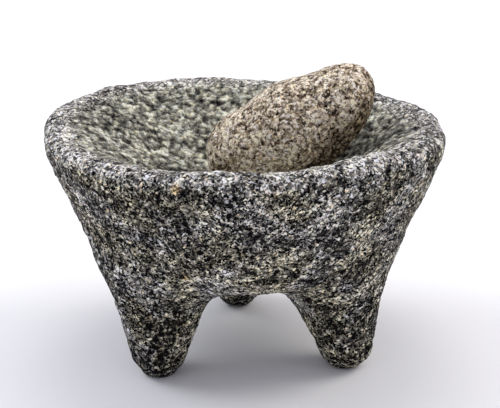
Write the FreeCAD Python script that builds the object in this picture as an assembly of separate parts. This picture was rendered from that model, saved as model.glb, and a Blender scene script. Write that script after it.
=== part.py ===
"""A molcajete: a three-legged mortar carved from one block of basalt, and its tejolote, the pestle.

Millimetres, +Z up, +X to the right, the front towards -Y. The origin is under the middle of the
mortar, with the flats worn under the three feet on Z = 0. The tejolote lies in the bowl.

Each stone is a field that is negative inside it: plain cones, balls and planes blended into each
other as a carver leaves them. Rows of points are found on the field's skin and one smooth surface
is drawn over them.
"""
import FreeCAD
import Part

import math
import os

Vector = FreeCAD.Vector

# ---- the bowl ----
RIM_RADIUS = 101.8          # where the flank would reach the lip's shoulder, if the lip were sharp
RIM_TOP = 132.5             # the level that the lip is rounded down from, about 7 mm
SHOULDER_DROP = 14.0        # how far under that level the rim radius is taken
FLANK_TAPER = 23.0          # degrees that the flank leans in from the vertical
SHOULDER_ROUND = 26.0       # blend length where the flank turns into the lip's top
UNDERSIDE = 50.5            # height of the bowl's belly above the ground
BELLY_ROUND = 30.0          # blend length where the flank turns under the belly
BELLY_SAG = 2.5             # how much lower the belly is on the axis than at its edge
BELLY_RADIUS = 60.0

# ---- the cavity ----
MOUTH_RADIUS = 87.0         # where the carved surface would reach the lip's crest
CAVITY_DEPTH = 54.0         # from the crest down to the floor
CAVITY_POWER = 1.55         # 1 is a cone, 2 a paraboloid
LEVEL_SHARE = 0.02          # share of the mouth radius within which the cavity's floor counts as level
LIP_ROUND = 22.0            # blend length between the lip's top and the carved surface

# ---- the legs ----
LEG_PLACES = (              # azimuth of the foot, its radius from the axis, azimuth and radius of the root
    (216.5, 54.5, 215.0, 51.0),
    (335.5, 56.0, 335.5, 47.5),
    (96.0, 55.0, 96.0, 43.0),
)
FOOT_TIP = 15.5             # radius of the rounded foot
FOOT_WEAR = 1.5             # how much of the rounded foot is worn flat
LEG_ROOT_HEIGHT = 58.0
LEG_ROOT_SIZE = 30.0
LEG_BLEND = 16.0            # blend length between a leg and the belly

# ---- how the hand-carved rim wanders: (lobes, size in mm, phase in degrees) ----
RIM_RADIUS_WAVES = ((2, 1.2, 0.0), (3, 0.8, 40.0), (5, 0.5, 110.0))
RIM_HEIGHT_WAVES = ((1, 1.2, 220.0), (2, 2.3, 131.0), (5, 0.4, 20.0))
HEWN = 0.45                 # how far the tools left the skin proud or shy of the true form
BROAD_RIPPLE = (Vector(1 / 11, 0, 1 / 14), Vector(0, 1 / 12, -1 / 17))     # radians per mm
FINE_RIPPLE = (Vector(1 / 12, -1 / 8, 0), Vector(0, 1 / 13, 1 / 8))
FINE_PHASE = 1.3
FINE_SHARE = 0.6            # size of the fine ripple against the broad one

# ---- the tejolote, along its own axis from the narrow end: (distance along, rise off the axis, radius) ----
NARROW_END = (22.0, 0.0, 22.2)
MIDDLE = (48.0, 0.6, 25.5)
BROAD_END = (77.0, 2.4, 20.8)
TEJOLOTE_BLEND = 3.0
GRINDING_FACE = 51.5        # from the narrow end's ball to the worn face of the broad end
GRINDING_LEAN = 45.0        # degrees between that face's outward direction and the axis
GRINDING_ROUND = 12.0
TEJOLOTE_WIDENING = 1.04    # its section is a little wider than high
# ---- how the tejolote lies in the bowl ----
TEJOLOTE_TIP = Vector(-18.5, 9.6, 94.6)
TEJOLOTE_TILT = 25.8        # degrees that its axis rises towards +X

# ---- the nets of the skins ----
MORTAR_COLUMNS = 96
TEJOLOTE_COLUMNS = 40
MORTAR_POLE = 4.0           # the mortar's skin stops at this radius and a small flat disc closes it
TEJOLOTE_POLE = 2.0
TEJOLOTE_LAST_START = 69.0  # along the axis, where the rows over the broad end are looked for from
REACH_STEPS = 60
REACH_SHARE = 0.8           # how much of the remaining way each step walks
ON_SKIN = 0.002


def waves(azimuth, table):
    return sum(size * math.cos(lobes * (azimuth - math.radians(phase))) for lobes, size, phase in table)


def smooth_min(a, b, blend):
    overlap = max(blend - abs(a - b), 0.0) / blend
    return min(a, b) - overlap * overlap * blend / 4


def smooth_max(a, b, blend):
    return -smooth_min(-a, -b, blend)


def round_cone(point, start, start_radius, end, end_radius):
    """Distance to a cone with a ball at each end."""
    along = end - start
    share = min(max((point - start).dot(along) / along.Length**2, 0.0), 1.0)
    return (point - (start + along * share)).Length - (start_radius + (end_radius - start_radius) * share)


def ripple(point, pair, phase):
    return math.sin(point.dot(pair[0]) + phase) * math.sin(point.dot(pair[1]))


def hewn(point):
    """The slow unevenness that pecking by hand leaves all over the stone."""
    return HEWN * (ripple(point, BROAD_RIPPLE, 0.0) + FINE_SHARE * ripple(point, FINE_RIPPLE, FINE_PHASE))


def on_azimuth(radius, degrees, height):
    angle = math.radians(degrees)
    return Vector(radius * math.cos(angle), radius * math.sin(angle), height)


LEGS = [(on_azimuth(foot_radius, foot_azimuth, FOOT_TIP - FOOT_WEAR),
         on_azimuth(root_radius, root_azimuth, LEG_ROOT_HEIGHT))
        for foot_azimuth, foot_radius, root_azimuth, root_radius in LEG_PLACES]


def mortar_field(point):
    """Negative inside the mortar, about the distance to its skin."""
    azimuth = math.atan2(point.y, point.x)
    radius = math.hypot(point.x, point.y)
    lean = math.radians(FLANK_TAPER)
    rim_radius = RIM_RADIUS + waves(azimuth, RIM_RADIUS_WAVES)
    crest = RIM_TOP + waves(azimuth, RIM_HEIGHT_WAVES)
    flank = (radius - rim_radius + (crest - SHOULDER_DROP - point.z) * math.tan(lean)) * math.cos(lean)
    belly = UNDERSIDE - BELLY_SAG * (1 - min(radius / BELLY_RADIUS, 1) ** 2) - point.z
    body = smooth_max(flank, belly, BELLY_ROUND)
    for foot, root in LEGS:
        body = smooth_min(body, round_cone(point, foot, FOOT_TIP, root, LEG_ROOT_SIZE), LEG_BLEND)
    body = smooth_max(body, point.z - crest, SHOULDER_ROUND)
    share = radius / MOUTH_RADIUS
    carved = crest - CAVITY_DEPTH * (1 - share**CAVITY_POWER)
    slope = CAVITY_DEPTH * CAVITY_POWER * max(share, LEVEL_SHARE) ** (CAVITY_POWER - 1) / MOUTH_RADIUS
    cavity = (point.z - carved) / math.hypot(1, slope)
    return smooth_max(body, cavity, LIP_ROUND) + hewn(point)


def on_tejolote(ball):
    along, rise, _ = ball
    return Vector(rise, 0, along)


def tejolote_field(point):
    """Negative inside the tejolote, which stands on its narrow end here with its axis on Z."""
    squeezed = Vector(point.x, point.y / TEJOLOTE_WIDENING, point.z)
    narrow, middle, broad = (on_tejolote(ball) for ball in (NARROW_END, MIDDLE, BROAD_END))
    lower = round_cone(squeezed, narrow, NARROW_END[2], middle, MIDDLE[2])
    upper = round_cone(squeezed, middle, MIDDLE[2], broad, BROAD_END[2])
    lean = math.radians(GRINDING_LEAN)
    outward = Vector(-math.sin(lean), 0, math.cos(lean))
    face = (squeezed - narrow).dot(outward) - GRINDING_FACE
    return smooth_max(smooth_min(lower, upper, TEJOLOTE_BLEND), face, GRINDING_ROUND) + hewn(point)


def blend_between(a, b, share):
    return a + (b - a) * share


def rows_between(knots):
    """Each knot: radius, height, direction in degrees, and how many rows lead to the next knot. A row says
    where to start in the middle of the stone and which way to look for its skin."""
    rows = []
    for here, there in zip(knots, knots[1:]):
        count = here[3]
        for step in range(count):
            rows.append(tuple(blend_between(a, b, step / count) for a, b in zip(here[:3], there[:3])))
    rows.append(knots[-1][:3])
    return rows


def skin_point(field, azimuth, row):
    """Walks out of the stone along the row's direction until it meets the skin."""
    radius, height, direction = row
    out = Vector(math.cos(azimuth), math.sin(azimuth), 0)
    step = out * math.cos(math.radians(direction)) + Vector(0, 0, math.sin(math.radians(direction)))
    point = out * radius + Vector(0, 0, height)
    for _ in range(REACH_STEPS):
        inside = -field(point)
        if abs(inside) < ON_SKIN:
            break
        point += step * inside * REACH_SHARE
    return point


def flattened(ring):
    """The ring pressed onto the plane that it nearly lies in."""
    middle = sum(ring, Vector()) * (1 / len(ring))
    normal = (ring[0] - middle).cross(ring[len(ring) // 4] - middle).normalize()
    return [point - normal * (point - middle).dot(normal) for point in ring]


def stone(field, knots, columns):
    """A solid whose side is one smooth surface over the field's skin, with a small flat disc at each end."""
    azimuths = [2 * math.pi * column / columns for column in range(columns)]
    rings = [[skin_point(field, azimuth, row) for azimuth in azimuths] for row in rows_between(knots)]
    rings[0] = flattened(rings[0])
    rings[-1] = flattened(rings[-1])
    rows = len(rings)
    poles = [[ring[column] for ring in rings] for column in range(columns)]
    surface = Part.BSplineSurface()
    surface.buildFromPolesMultsKnots(
        poles,
        [1] * (columns + 1), [4] + [1] * (rows - 4) + [4],
        list(range(columns + 1)), list(range(rows - 2)),
        True, False, 3, 3)
    side = surface.toShape()
    discs = [Part.Face(Part.Wire(edge)) for edge in side.Edges if edge.isClosed()]
    shell = Part.makeShell([side] + discs)
    shell.sewShape()
    return Part.makeSolid(Part.Shell(shell.Faces))


def mortar():
    """The rows go from under the belly, round the leg, up the flank, over the lip and down to the floor."""
    knots = (
        (MORTAR_POLE, 58.0, 270.0, 11),
        (50.0, 60.0, 237.0, 30),
        (50.0, 60.0, 335.0, 16),
        (85.0, 111.0, 335.0, 14),
        (85.0, 111.0, 500.0, 24),
        (MORTAR_POLE, 58.0, 450.0, 0),
    )
    skin = stone(mortar_field, knots, MORTAR_COLUMNS)
    ground = Part.makeBox(400, 400, 20, Vector(-200, -200, -20))
    return skin.cut(ground)


def tejolote():
    knots = (
        (TEJOLOTE_POLE, NARROW_END[0], 270.0, 9),
        (TEJOLOTE_POLE, NARROW_END[0], 360.0, 14),
        (TEJOLOTE_POLE, TEJOLOTE_LAST_START, 360.0, 12),
        (TEJOLOTE_POLE, TEJOLOTE_LAST_START, 450.0, 0),
    )
    skin = stone(tejolote_field, knots, TEJOLOTE_COLUMNS)
    tilted = FreeCAD.Rotation(Vector(0, 1, 0), 90 - TEJOLOTE_TILT)
    half_turned = FreeCAD.Rotation(Vector(0, 0, 1), 180)
    skin.Placement = FreeCAD.Placement(TEJOLOTE_TIP, tilted.multiply(half_turned))
    return skin


def main():
    os.makedirs("parts", exist_ok=True)
    stones = {"mortar": mortar(), "tejolote": tejolote()}
    box = stones["mortar"].optimalBoundingBox(False, False)
    to_origin = Vector(-box.Center.x, -box.Center.y, 0)
    for name, body in stones.items():
        body.translate(to_origin)
        print(name, body.isValid(), round(body.Volume / 1e6, 3), body.optimalBoundingBox(False, False))
        body.exportStep("parts/" + name + ".step")
    print("moved", to_origin)


main()
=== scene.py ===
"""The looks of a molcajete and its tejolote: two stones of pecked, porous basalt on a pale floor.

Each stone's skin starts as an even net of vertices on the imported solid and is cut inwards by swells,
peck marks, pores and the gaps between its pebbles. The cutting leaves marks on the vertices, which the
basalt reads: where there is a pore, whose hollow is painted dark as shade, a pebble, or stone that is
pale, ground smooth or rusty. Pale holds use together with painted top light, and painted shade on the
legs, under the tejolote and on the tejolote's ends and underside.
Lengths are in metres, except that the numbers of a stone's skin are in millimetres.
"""

import math
from typing import NamedTuple

import bpy
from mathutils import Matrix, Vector, noise
from mathutils.bvhtree import BVHTree


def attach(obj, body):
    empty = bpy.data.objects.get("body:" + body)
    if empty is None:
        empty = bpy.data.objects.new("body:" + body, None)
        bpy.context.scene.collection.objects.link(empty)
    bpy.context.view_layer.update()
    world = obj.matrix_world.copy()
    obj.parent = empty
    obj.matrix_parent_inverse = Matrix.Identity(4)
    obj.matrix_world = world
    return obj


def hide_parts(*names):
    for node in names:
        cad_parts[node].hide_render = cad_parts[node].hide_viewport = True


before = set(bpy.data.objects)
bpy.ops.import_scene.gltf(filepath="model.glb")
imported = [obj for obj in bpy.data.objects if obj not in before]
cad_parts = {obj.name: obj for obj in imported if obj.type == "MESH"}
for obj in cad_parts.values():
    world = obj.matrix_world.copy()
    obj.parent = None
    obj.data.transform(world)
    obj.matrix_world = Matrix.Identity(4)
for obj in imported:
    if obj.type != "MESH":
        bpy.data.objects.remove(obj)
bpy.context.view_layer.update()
MM = 0.001

# ---- the camera: in front of the object, looking down into the bowl ----
VIEW_DISTANCE = 0.6
VIEW_ELEVATION = math.radians(19.5)
LOOK_AT = Vector((0.0030, 0.0012, 0.0793))
LENS = 84.4

# ---- the fineness of each skin ----
MORTAR_NET = 1.3 * MM
TEJOLOTE_NET = 0.8 * MM


# ---------------------------------------------------------------- how a stone is cut

def smoothstep(low_edge, high_edge, value):
    share = min(max((value - low_edge) / (high_edge - low_edge), 0.0), 1.0)
    return share * share * (3 - 2 * share)


SEED_SHIFT = Vector((1.0, 1.7, 2.3))
CHANCE_SPREAD = 97.0            # takes neighbouring dimples to unrelated cells of the noise
PEBBLE_EDGE = (0.25, 0.85)      # distance from a pebble's centre, in sizes


class Waves(NamedTuple):
    """Unevenness that has no edges: its size along the surface and its depth, in millimetres."""
    size: float
    depth: float
    smoothness: float
    shift: tuple = (0, 0, 0)

    def at(self, point):
        doubling, octaves = 2.0, 3
        place = point / self.size + Vector(self.shift)
        return self.depth * noise.fractal(place, self.smoothness, doubling, octaves)


class Dimples(NamedTuple):
    """Round dimples: their spacing and depth in millimetres, and their greatest radius in spacings. Each
    kind has its own seed, which shifts it to another part of the noise."""
    spacing: float
    depth: float
    reach: float
    seed: float

    def at(self, point):
        """From 0 to 1, how deep the point is inside the nearest dimple, and that dimple's own chance."""
        place = point / self.spacing + self.seed * SEED_SHIFT
        distances, centres = noise.voronoi(place)
        chance = noise.cell(centres[0] * CHANCE_SPREAD)
        radius = self.reach * (0.5 + 0.5 * chance)
        return max(1 - (distances[0] / radius) ** 2, 0.0), chance


class Pebbles(NamedTuple):
    """The rounded lumps of the stone's grain, with gaps between them. The gaps are gap_depth deep on rough
    stone and deeper by ground_gap_depth where the stone is ground smooth, all in millimetres."""
    size: float
    gap_depth: float
    ground_gap_depth: float
    seed: float

    def at(self, point):
        """1 on the top of a pebble, 0 in a gap."""
        distances, _ = noise.voronoi(point / self.size + Vector((self.seed,) * 3))
        return 1 - smoothstep(*PEBBLE_EDGE, distances[0])


class Cuts(NamedTuple):
    """Everything that is cut into one stone. least and swell_lift are in millimetres."""
    least: float                # taken off everywhere
    swell_lift: float
    swell: Waves                # from the shaping of the block
    rough: Waves
    peck: Dimples               # marks of the pecking tool
    pore: Dimples               # gas bubbles laid open
    kept_pores: float           # their chance is above this
    ground_pores: float         # how much shallower grinding makes them
    pebbles: Pebbles

    def at(self, point, ground):
        """The depth at a point, in millimetres, and how far the point is in a pore and on a pebble."""
        swell = max(self.swell_lift + self.swell.at(point), 0.0)
        peck, _ = self.peck.at(point)
        pore, chance = self.pore.at(point)
        pore = pore if chance > self.kept_pores else 0.0
        pebble = self.pebbles.at(point)
        gap_depth = self.pebbles.gap_depth + self.pebbles.ground_gap_depth * ground
        depth = self.least + swell + self.rough.at(point) + self.peck.depth * peck
        depth += self.pore.depth * pore * (1 - self.ground_pores * ground) + gap_depth * (1 - pebble)
        return depth, pore, pebble


MORTAR_CUTS = Cuts(
    least=0.15,
    swell_lift=0.45,
    swell=Waves(size=17, depth=0.6, smoothness=1.0),
    rough=Waves(size=4.6, depth=0.5, smoothness=0.7, shift=(9, 0, 0)),
    peck=Dimples(spacing=5.2, depth=0.6, reach=0.58, seed=3.0),
    pore=Dimples(spacing=5.2, depth=1.2, reach=0.38, seed=11.0),
    kept_pores=0.5,
    ground_pores=0.5,
    pebbles=Pebbles(size=2.9, gap_depth=0.15, ground_gap_depth=0.45, seed=2.0),
)
TEJOLOTE_CUTS = Cuts(
    least=0.12,
    swell_lift=0.35,
    swell=Waves(size=12, depth=0.55, smoothness=1.0, shift=(4, 4, 0)),
    rough=Waves(size=3.8, depth=0.38, smoothness=0.7),
    peck=Dimples(spacing=4.6, depth=0.5, reach=0.55, seed=5.0),
    pore=Dimples(spacing=3.6, depth=0.9, reach=0.36, seed=19.0),
    kept_pores=0.5,
    ground_pores=0.0,
    pebbles=Pebbles(size=2.5, gap_depth=0.0, ground_gap_depth=0.3, seed=7.0),
)


# ---------------------------------------------------------------- the mortar's skin

FACES_UP = (-0.1, 0.5)          # the normal's z, from a steep wall to a slope
WORN_ABOVE = (72, 80)           # what faces up above this height is paler: the cavity and the lip, partly from use and partly painted top light
LIP_STARTS = (78, 90)           # radius at which the ground cavity gives way to the lip
LEGS_DARKEN, LEG_SHADE = (25, 75), 0.3          # height, and how much darker: painted shade on the legs and lower wall under the bowl
# painted shade on the feet, darker towards the floor
FEET_DARKEN, FOOT_SHADE = (4, 22), 0.3
# painted shade on the back leg, which stands in the bowl's shadow
BACK_LEG_DARKENS, BACK_LEG_SHADE = (25, 55), 0.35
BACK_LEG = (15, 35)             # y
SOLE_ENDS = (0.4, 3.0)          # height: the soles below it are flat
CONTACT_SHADOW = Vector((46, -6, 88))      # painted shadow on the cavity where the tejolote's dark side leans on it
CONTACT_SHADOW_ENDS = (6, 26)          # distance from it
RUST = ((-29, 119, 3.6), (-27, 69, 2.6))        # spots on the front: x, z and radius
RUST_FADES = (0.4, 1.0)         # share of a spot's radius
GROUND_PORE_SHADE = 0.4         # how much of a pore's painted shade stays where the stone is ground


def paleness(point, normal):
    """How pale the mortar is: 1 on what faces up in the cavity and on the lip, partly from use and partly
    painted top light, 0 on its flanks, below 0 on the legs, which carry painted shade, as do the feet, the
    back leg and the cavity where the tejolote leans.
    """
    # partly use, partly painted top light: paler where the stone faces up, high on the bowl
    worn_and_lit = smoothstep(*FACES_UP, normal.z) * smoothstep(*WORN_ABOVE, point.z)
    # painted shadow: the cavity is darker around the place where the tejolote leans
    worn_and_lit *= smoothstep(*CONTACT_SHADOW_ENDS, (point - CONTACT_SHADOW).length)
    # painted shade: the legs and the lower wall darker towards the bottom, under the bowl
    legs = 1 - smoothstep(*LEGS_DARKEN, point.z)
    # painted shade on the feet near the floor
    feet = 1 - smoothstep(*FEET_DARKEN, point.z)
    # painted shade on the back leg
    back_leg = smoothstep(*BACK_LEG, point.y) * (1 - smoothstep(*BACK_LEG_DARKENS, point.z))
    return worn_and_lit - LEG_SHADE * legs - FOOT_SHADE * feet - BACK_LEG_SHADE * back_leg


def rust_at(point, normal):
    if point.y > 0 or normal.y > 0:
        return 0.0
    distances = (math.hypot(point.x - x, point.z - z) / radius for x, z, radius in RUST)
    return 1 - smoothstep(*RUST_FADES, min(distances))


def mortar_skin(point, normal):
    """The lip and the cavity are pale, partly from use and partly painted top light; the legs and the
    tejolote's resting place get painted shade; the cavity is ground smooth; the soles are flat.
    """
    pale = paleness(point, normal)
    ground = max(pale, 0.0) * (1 - smoothstep(*LIP_STARTS, math.hypot(point.x, point.y)))
    depth, pore, pebble = MORTAR_CUTS.at(point, ground)
    depth *= smoothstep(*SOLE_ENDS, point.z)
    # grinding keeps less of a pore's painted shade
    pore *= 1 - (1 - GROUND_PORE_SHADE) * ground
    return depth, pore, pebble, pale, ground, rust_at(point, normal)


# ---------------------------------------------------------------- the tejolote's skin

SHADED_ENDS = ((Vector((-16, -14, 88)), 25.0), (Vector((68, 6, 122)), 30.0))     # painted shade on each end: place, radius
SHADED_END_FADES = (0.4, 1.0)        # share of a shaded end's radius
SHADED_SIDE = Vector((0.66, -0.42, -0.62))       # the way that the broad end's down-facing side faces, where shade is painted
SHADED_SIDE_TURNS = (0.35, 0.95)       # the cosine between that and the normal
SHADED_SIDE_STARTS = (10, 40)          # x
TEJOLOTE_PAINTED_SHADE = 0.75              # how much darker the painted shade makes both ends and the down-facing side


def tejolote_skin(point, normal):
    """Ground smooth all over, with painted shade on both ends and on the side of the broad end that faces
    down.
    """
    distances = ((point - centre).length / radius for centre, radius in SHADED_ENDS)
    # painted shade towards both ends
    end_shade = 1 - smoothstep(*SHADED_END_FADES, min(distances))
    # painted shade on the broad end's down-facing side
    side_shade = smoothstep(*SHADED_SIDE_TURNS, normal.dot(SHADED_SIDE)) * smoothstep(*SHADED_SIDE_STARTS, point.x)
    pale = 1 - TEJOLOTE_PAINTED_SHADE * max(end_shade, side_shade)
    ground, rust = 1.0, 0.0
    depth, pore, pebble = TEJOLOTE_CUTS.at(point, ground)
    return depth, pore, pebble, pale, ground, rust


# ---------------------------------------------------------------- from solid to skin

MARKS = ("pore", "pebble", "pale", "ground", "rust")
THINNEST_CUT = 0.02             # millimetres, so that the skin is never on the solid's surface


def even_skin(name, node, net):
    """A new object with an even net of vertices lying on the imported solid's surface."""
    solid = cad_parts[node]
    piece = bpy.data.objects.new(name, solid.data.copy())
    bpy.context.scene.collection.objects.link(piece)
    remesh = piece.modifiers.new("even net", "REMESH")
    remesh.mode = "VOXEL"
    remesh.voxel_size = net
    evaluated = piece.evaluated_get(bpy.context.evaluated_depsgraph_get())
    piece.data = bpy.data.meshes.new_from_object(evaluated)
    piece.modifiers.clear()
    surface = BVHTree.FromObject(solid, bpy.context.evaluated_depsgraph_get())
    for vertex in piece.data.vertices:
        vertex.co = surface.find_nearest(vertex.co)[0]
    return piece


def carve(piece, skin):
    """Cuts the skin inwards, never outwards. skin gives, for a point in millimetres and its normal, the
    depth there in millimetres and the numbers that MARKS names, which the vertices keep."""
    places = [(vertex.co / MM, vertex.normal.copy()) for vertex in piece.data.vertices]
    depths, *marks = zip(*(skin(point, normal) for point, normal in places))
    for vertex, (_, normal), depth in zip(piece.data.vertices, places, depths):
        vertex.co -= normal * max(depth, THINNEST_CUT) * MM
    for name, values in zip(MARKS, marks):
        piece.data.attributes.new(name, "FLOAT", "POINT").data.foreach_set("value", values)
    piece.data.shade_smooth()
    piece.data.update()


# ---------------------------------------------------------------- basalt

class Nodes:
    """Short words for wiring a material."""

    def __init__(self, name):
        self.material = bpy.data.materials.new(name)
        self.material.use_nodes = True
        self.tree = self.material.node_tree
        self.shader = self.tree.nodes["Principled BSDF"]
        self.place = self.tree.nodes.new("ShaderNodeTexCoord").outputs["Object"]

    def link(self, value, socket):
        if isinstance(value, bpy.types.NodeSocket):
            self.tree.links.new(value, socket)
        else:
            socket.default_value = value

    def node(self, kind, inputs, **settings):
        made = self.tree.nodes.new("ShaderNode" + kind)
        for key, value in settings.items():
            setattr(made, key, value)
        for key, value in inputs.items():
            self.link(value, made.inputs[key])
        return made

    def math(self, operation, a, b=0.0, c=0.0, clamp=False):
        return self.node("Math", {0: a, 1: b, 2: c}, operation=operation, use_clamp=clamp).outputs[0]

    def vector(self, operation, a, b):
        return self.node("VectorMath", {0: a, 1: b}, operation=operation).outputs[0]

    def attribute(self, name):
        return self.node("Attribute", {}, attribute_name=name).outputs["Fac"]

    def noise(self, size, detail):
        return self.node("TexNoise", {"Vector": self.place, "Scale": 1 / size, "Detail": detail}).outputs

    def cells(self, place, size):
        """Three random numbers from 0 to 1 for each cell."""
        colour = self.node("TexVoronoi", {"Vector": place, "Scale": 1 / size}).outputs["Color"]
        return self.node("SeparateColor", {"Color": colour}).outputs

    def between(self, share, a, b):
        """A number from a to b; inputs 2 and 3 are the Mix node's own two numbers."""
        return self.node("Mix", {0: share, 2: a, 3: b}).outputs[0]

    def ramp(self, value, stops, interpolation="LINEAR"):
        made = self.node("ValToRGB", {"Fac": value})
        made.color_ramp.interpolation = interpolation
        elements = made.color_ramp.elements
        while len(elements) < len(stops):
            elements.new(0.5)
        for element, (position, colour) in zip(elements, stops):
            element.position = position
            element.color = (*colour, 1)
        return made.outputs["Color"]

    def mix(self, share, a, b, blend_type="MIX"):
        made = self.node("Mix", {"Factor": share}, data_type="RGBA", blend_type=blend_type)
        colours = [socket for socket in made.inputs if socket.type == "RGBA"]
        self.link(a, colours[0])
        self.link(b, colours[1])
        return [socket for socket in made.outputs if socket.type == "RGBA"][0]

    def tinted(self, share, colour, tint):
        """The colour times the tint, for that share."""
        return self.mix(share, colour, self.mix(1.0, colour, (*tint, 1), "MULTIPLY"))

    def step(self, value, start, end):
        return self.node("MapRange", {"Value": value, "From Min": start, "From Max": end},
                         interpolation_type="SMOOTHSTEP").outputs["Result"]


MORTAR_MINERALS = (             # from basalt glass to feldspar, by how bright the grain is
    (0.00, (0.0035, 0.0035, 0.0042)),
    (0.16, (0.012, 0.012, 0.0135)),
    (0.30, (0.040, 0.038, 0.038)),
    (0.45, (0.104, 0.099, 0.094)),
    (0.60, (0.206, 0.198, 0.186)),
    (0.75, (0.370, 0.358, 0.335)),
    (0.90, (0.630, 0.615, 0.585)),
    (1.00, (0.860, 0.845, 0.820)),
)
TEJOLOTE_MINERALS = (
    (0.00, (0.030, 0.020, 0.015)),
    (0.17, (0.122, 0.089, 0.063)),
    (0.33, (0.230, 0.180, 0.132)),
    (0.50, (0.375, 0.308, 0.234)),
    (0.67, (0.560, 0.483, 0.388)),
    (0.83, (0.770, 0.690, 0.578)),
    (1.00, (0.930, 0.860, 0.750)),
)
GRAIN_TINTS = (                 # each for a share of the grains
    (0.00, (0.95, 0.98, 1.07)),
    (0.22, (1.00, 1.00, 1.00)),
    (0.50, (1.03, 1.02, 0.88)),
    (0.78, (1.06, 0.98, 0.93)),
    (0.95, (1.14, 0.99, 0.74)),
)
TAN_TINT = (1.03, 1.0, 0.84)
RUST_TINT = (1.10, 0.86, 0.55)
# painted shade: the hollow of a pore is painted near black
PORE_BLACK = (0.006, 0.005, 0.006)
PORE_EDGE = (0.15, 0.7)         # depth in the pore over which its painted shade turns black
PORE_SHADE = 0.85
TAN_PATCH_EDGE = (0.40, 0.60)

GRAIN_SIZE = 1.15 * MM
FINE_GRAIN_SIZE = 0.55 * GRAIN_SIZE
WOBBLE_SIZE = 1.4 * GRAIN_SIZE
WOBBLE_REACH = 1.1 * GRAIN_SIZE
CLUMP_SIZE = 5.5 * MM
PATCH_SIZE = 19 * MM
TAN_PATCH_SIZE = 24 * MM
BUMP_HEIGHT = 0.5 * MM
BUMP_RAW, BUMP_GROUND = 0.75, 0.40
ROUGHEST, SMOOTHEST = 0.95, 0.65        # grain by grain
DULLEST, SHINIEST = 0.02, 0.37          # dark minerals and light ones


class Strengths(NamedTuple):
    """How much each field sways the brightness of the stone."""
    grain: float
    pebble: float
    clump: float
    patch: float


class Levels(NamedTuple):
    """The middle of the brightness, and how far the fields move it."""
    lift: float
    gain: float


def grains(n):
    """Mineral grains with crooked outlines, of two sizes. Gives their brightness, tint and polish."""
    centred = n.vector("SUBTRACT", n.noise(WOBBLE_SIZE, 2.0)["Color"], (0.5, 0.5, 0.5))
    place = n.vector("ADD", n.place, n.vector("MULTIPLY", centred, (WOBBLE_REACH,) * 3))
    coarse = n.cells(place, GRAIN_SIZE)
    fine = n.cells(place, FINE_GRAIN_SIZE)
    use_fine = n.math("GREATER_THAN", coarse[1], 0.5)
    return n.between(use_fine, coarse[0], fine[0]), n.between(use_fine, coarse[2], fine[2]), coarse[2]


def basalt(name, minerals, raw, ground, raw_levels, pale_levels, ground_tint):
    """Basalt whose grains, pebbles, clumps and patches sway between dark and light minerals, by raw on
    rough stone and by ground on ground stone. It is paler where the pale mark is high, which holds use
    together with painted light and shade, and gets ground_tint where it is ground."""
    n = Nodes(name)
    grain, tint_pick, polish = grains(n)
    clump = n.noise(CLUMP_SIZE, 1.0)["Fac"]
    patch = n.noise(PATCH_SIZE, 2.0)["Fac"]
    smooth = n.attribute("ground")
    # the pale mark holds use together with painted light and shade
    pale = n.attribute("pale")

    total = 0.0
    for field, on_raw, on_ground in zip((grain, n.attribute("pebble"), clump, patch), raw, ground):
        strength = n.between(smooth, on_raw, on_ground)
        total = n.math("MULTIPLY_ADD", n.math("SUBTRACT", field, 0.5), strength, total)
    lift = n.math("MULTIPLY_ADD", pale, pale_levels.lift - raw_levels.lift, raw_levels.lift)
    gain = n.math("MULTIPLY_ADD", pale, pale_levels.gain - raw_levels.gain, raw_levels.gain)
    brightness = n.math("MULTIPLY_ADD", total, gain, lift, clamp=True)

    colour = n.ramp(brightness, minerals)
    colour = n.mix(1.0, colour, n.ramp(tint_pick, GRAIN_TINTS, "CONSTANT"), "MULTIPLY")
    colour = n.tinted(smooth, colour, ground_tint)
    tan_patch = n.step(n.noise(TAN_PATCH_SIZE, 1.0)["Fac"], *TAN_PATCH_EDGE)
    # tan patches show on stone that is not pale, the painted shade included
    not_pale = n.math("SUBTRACT", 1.0, pale)
    colour = n.tinted(n.math("MULTIPLY", tan_patch, not_pale, clamp=True), colour, TAN_TINT)
    colour = n.tinted(n.attribute("rust"), colour, RUST_TINT)
    # painted shade in the pores
    in_pore = n.math("MULTIPLY", n.step(n.attribute("pore"), *PORE_EDGE), PORE_SHADE)
    n.link(n.mix(in_pore, colour, (*PORE_BLACK, 1)), n.shader.inputs["Base Color"])

    n.link(n.between(polish, ROUGHEST, SMOOTHEST), n.shader.inputs["Roughness"])
    n.link(n.between(brightness, DULLEST, SHINIEST), n.shader.inputs["Specular IOR Level"])
    strength = n.between(smooth, BUMP_RAW, BUMP_GROUND)
    bump = n.node("Bump", {"Strength": strength, "Distance": BUMP_HEIGHT, "Height": brightness})
    n.link(bump.outputs["Normal"], n.shader.inputs["Normal"])
    return n.material


# ---------------------------------------------------------------- the stones

def dress(piece, node, material):
    piece.data.materials.clear()
    piece.data.materials.append(material)
    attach(piece, node)
    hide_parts(node)


mortar = even_skin("mortar_stone", "mortar", MORTAR_NET)
carve(mortar, mortar_skin)
grey_basalt = basalt(
    "grey basalt",
    MORTAR_MINERALS,
    raw=Strengths(grain=1.05, pebble=0.3, clump=0.80, patch=0.80),
    ground=Strengths(grain=0.40, pebble=0.55, clump=0.9, patch=0.75),
    raw_levels=Levels(lift=0.295, gain=1.20),
    pale_levels=Levels(lift=0.590, gain=1.0),
    ground_tint=(0.89, 0.915, 0.81),
)
dress(mortar, "mortar", grey_basalt)

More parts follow.
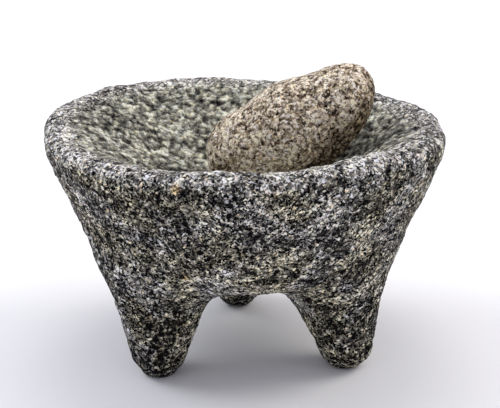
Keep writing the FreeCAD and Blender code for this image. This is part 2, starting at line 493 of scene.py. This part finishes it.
tejolote = even_skin("tejolote_stone", "tejolote", TEJOLOTE_NET)
carve(tejolote, tejolote_skin)
brown_basalt = basalt(
    "brown basalt",
    TEJOLOTE_MINERALS,
    raw=Strengths(grain=1.0, pebble=0.5, clump=0.8, patch=0.5),
    ground=Strengths(grain=1.0, pebble=0.5, clump=0.4, patch=0.45),
    raw_levels=Levels(lift=0.0, gain=0.7),
    pale_levels=Levels(lift=0.525, gain=1.03),
    ground_tint=(1.0, 0.985, 0.95),
)
dress(tejolote, "tejolote", brown_basalt)


# ---------------------------------------------------------------- floor, light, camera

FLOOR_HALF = 3.0
PAPER = (0.93, 0.925, 0.925, 1)
DAYLIGHT = (0.94, 0.965, 1.0)
WARM_LIGHT = (1.0, 0.96, 0.89)
WALL_COLOUR = (0.875, 0.885, 1.0, 1)
WALL_STRENGTH = 0.42
CEILING_STRENGTH = 0.86
CEILING_HEIGHT = 0.9            # the z of the direction in which the ceiling is fully bright


def floor():
    corners = [(x * FLOOR_HALF, y * FLOOR_HALF, 0) for x, y in ((-1, -1), (1, -1), (1, 1), (-1, 1))]
    mesh = bpy.data.meshes.new("floor")
    mesh.from_pydata(corners, [], [(0, 1, 2, 3)])
    made = bpy.data.objects.new("floor", mesh)
    bpy.context.scene.collection.objects.link(made)
    n = Nodes("pale paper")
    n.shader.inputs["Base Color"].default_value = PAPER
    n.shader.inputs["Roughness"].default_value = 0.9
    n.shader.inputs["Specular IOR Level"].default_value = 0.0
    mesh.materials.append(n.material)


def area_light(name, place, size, power, colour):
    """A round light that faces the object."""
    light = bpy.data.lights.new(name, "AREA")
    light.shape = "DISK"
    light.size = size
    light.energy = power
    light.color = colour
    made = bpy.data.objects.new(name, light)
    made.location = place
    made.rotation_euler = (LOOK_AT - Vector(place)).to_track_quat("-Z", "Y").to_euler()
    bpy.context.scene.collection.objects.link(made)


def sky():
    """Pale studio walls and a brighter ceiling."""
    world = bpy.data.worlds.new("studio")
    world.use_nodes = True
    tree = world.node_tree
    direction = tree.nodes.new("ShaderNodeTexCoord").outputs["Generated"]
    height = tree.nodes.new("ShaderNodeSeparateXYZ")
    ceiling = tree.nodes.new("ShaderNodeMapRange")
    background = tree.nodes["Background"]
    ceiling.inputs["From Max"].default_value = CEILING_HEIGHT
    ceiling.inputs["To Min"].default_value = WALL_STRENGTH
    ceiling.inputs["To Max"].default_value = CEILING_STRENGTH
    background.inputs["Color"].default_value = WALL_COLOUR
    tree.links.new(direction, height.inputs[0])
    tree.links.new(height.outputs["Z"], ceiling.inputs["Value"])
    tree.links.new(ceiling.outputs["Result"], background.inputs["Strength"])
    bpy.context.scene.world = world


def camera():
    made = bpy.data.objects.new("camera", bpy.data.cameras.new("camera"))
    made.data.lens = LENS
    made.data.clip_start = 0.01
    back = Vector((0, -math.cos(VIEW_ELEVATION), math.sin(VIEW_ELEVATION)))
    made.location = LOOK_AT + back * VIEW_DISTANCE
    made.rotation_euler = (-back).to_track_quat("-Z", "Y").to_euler()
    bpy.context.scene.collection.objects.link(made)
    bpy.context.scene.camera = made


floor()
area_light("left window", (-2.1, 0.5, 2.2), size=1.6, power=30.0, colour=DAYLIGHT)
area_light("right softbox", (2.1, 0.5, 2.2), size=1.6, power=32.0, colour=WARM_LIGHT)
area_light("overhead", (0.0, 0.35, 1.8), size=0.8, power=5.0, colour=WARM_LIGHT)
sky()
bpy.context.scene.view_settings.view_transform = "Standard"
camera()
